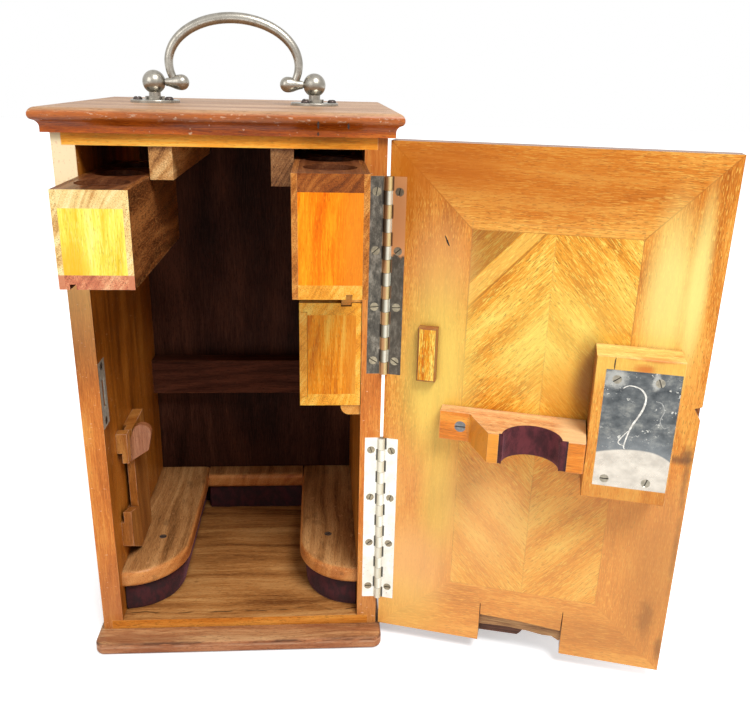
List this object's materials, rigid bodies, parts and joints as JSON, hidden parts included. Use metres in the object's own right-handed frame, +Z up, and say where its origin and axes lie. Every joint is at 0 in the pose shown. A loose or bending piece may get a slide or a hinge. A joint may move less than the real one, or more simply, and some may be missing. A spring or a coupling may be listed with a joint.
{
  "type": "microscope case",
  "caption": "Upright wooden case for a microscope, with a hinged door, carrying handle, mortise lock, velvet foot rests and sliding accessory boxes.",
  "frame": {"origin": "middle of the carcass's footprint, on the underside of the plinth", "axes": "+X to the right seen from the front, +Y into the case away from its door opening, +Z up"},
  "size_m": [0.4076, 0.2683, 0.4375],
  "materials": {
    "plinth_wood": "worn, waxed",
    "case_wood": "polished mahogany",
    "floor_wood": "matt",
    "back_wood": "matt",
    "top_wood": "polished, worn",
    "rail_wood": "planed",
    "foot_wood": "polished",
    "velvet": "cotton velvet",
    "wood_plug": "dulled",
    "cross_rail_wood": "matt",
    "rack_wood": "polished",
    "button_wood": "polished",
    "dark_brass": "tarnished",
    "screw_steel": "bright",
    "hinge_tarnished": "nickel plate, tarnished",
    "hinge_bright": "nickel plate",
    "hinge_screw": "dulled",
    "handle_nickel": "nickel plate",
    "blued_screw": "blued",
    "door_wood": "polished mahogany",
    "border_veneer": "french polished",
    "centre_veneer": "french polished",
    "block_wood": "polished",
    "bar_wood": "polished",
    "lock_wood": "polished",
    "lock_nickel": "nickel plate, scratched",
    "bolt_brass": "worn",
    "box_wood": "oiled",
    "box_end_wood": "polished",
    "box_top_wood": "oiled",
    "box_bottom_wood": "oiled"
  },
  "bodies": {
    "case": {"plinth": "plinth_wood", "side_panel_left": "case_wood", "side_panel_right": "case_wood", "carcass_top": "case_wood", "carcass_floor": "floor_wood", "back_panel": "back_wood", "top_board": "top_wood", "hanging_runner_left": "rail_wood", "hanging_runner_right": "rail_wood", "left_box_rail": "rail_wood", "right_box_rail": "rail_wood", "lower_box_rail": "rail_wood", "foot_board_left": "foot_wood", "foot_board_right": "foot_wood", "foot_board_rear": "foot_wood", "foot_velvet": "velvet", "foot_board_screws": "wood_plug", "rear_cross_rail": "cross_rail_wood", "rack_board": "rack_wood", "turn_button_peg": "dark_brass", "strike_plate": "dark_brass", "strike_screws": "screw_steel", "hinge_case_leaf_upper": "hinge_tarnished", "hinge_case_leaf_lower": "hinge_bright", "hinge_pins": "screw_steel", "hinge_case_screws": "hinge_screw", "handle_posts": "handle_nickel", "handle_post_screws": "blued_screw"},
    "door": {"door_core": "door_wood", "door_border_veneer": "border_veneer", "door_centre_veneer": "centre_veneer", "hinge_door_leaf_upper": "hinge_tarnished", "hinge_door_leaf_lower": "hinge_bright", "hinge_door_screws": "hinge_screw", "stop_block": "block_wood", "clamp_bar": "bar_wood", "clamp_bar_velvet": "velvet", "clamp_bar_screw": "screw_steel", "lock_block": "lock_wood", "lock_cover_plate": "lock_nickel", "lock_cover_screws": "screw_steel", "lock_case": "lock_nickel", "lock_pins": "screw_steel", "lock_spring": "screw_steel", "keyhole_escutcheon": "dark_brass"},
    "left_tray": {"left_box_sides": "box_wood", "left_box_ends": "box_end_wood", "left_box_top": "box_top_wood", "left_box_bottom": "box_bottom_wood"},
    "right_tray": {"right_box_sides": "box_wood", "right_box_ends": "box_end_wood", "right_box_top": "box_top_wood", "right_box_bottom": "box_bottom_wood"},
    "lower_tray": {"lower_box_boards": "box_wood", "lower_box_ends": "box_end_wood"},
    "lid": {"lower_box_lid": "box_wood"},
    "bail": {"handle_bail": "handle_nickel"},
    "bolt": {"lock_bolt": "bolt_brass"},
    "lever": {"lock_lever": "bolt_brass"},
    "button": {"turn_button": "button_wood"}
  },
  "joints": [
    {"name": "door_hinge", "type": "hinge", "parent": "case", "child": "door", "pos_m": [0.101, -0.0914, 0.19], "axis": [0, 0, 1], "range_deg": [-162.86, 10]},
    {"name": "left_box_slide", "type": "slide", "parent": "case", "child": "left_tray", "axis": [0, -1, 0], "range_m": [-0.0641, 0.0041]},
    {"name": "right_box_slide", "type": "slide", "parent": "case", "child": "right_tray", "axis": [0, -1, 0], "range_m": [-0.0721, 0.0046]},
    {"name": "lower_box_slide", "type": "slide", "parent": "case", "child": "lower_tray", "axis": [0, -1, 0], "range_m": [-0.0106, 0.0008]},
    {"name": "lid_slide", "type": "slide", "parent": "lower_tray", "child": "lid", "axis": [0, -1, 0], "range_m": [0, 0.12]},
    {"name": "bail_hinge", "type": "hinge", "parent": "case", "child": "bail", "pos_m": [0, 0, 0.3919], "axis": [1, 0, 0], "range_deg": [-100, 100]},
    {"name": "bolt_slide", "type": "slide", "parent": "door", "child": "bolt", "axis": [0.9556, -0.2947, 0], "range_m": [-0.0012, 0.006]},
    {"name": "lever_hinge", "type": "hinge", "parent": "door", "child": "lever", "pos_m": [0.24654, -0.14884, 0.215], "axis": [-0.2947, -0.9556, 0], "range_deg": [0, 8], "stiffness_Nm_per_rad": 0.03, "springref_deg": -2.86},
    {"name": "button_hinge", "type": "hinge", "parent": "case", "child": "button", "pos_m": [-0.0806, -0.0515, 0.1325], "axis": [0, -1, 0], "range_deg": [-100, 20]}
  ],
  "couplings": [
    {"joint": "left_box_slide", "follows": "door_hinge", "m_per_rad": 0.022516},
    {"joint": "right_box_slide", "follows": "door_hinge", "m_per_rad": 0.02533},
    {"joint": "lower_box_slide", "follows": "door_hinge", "m_per_rad": 0.003694}
  ]
}
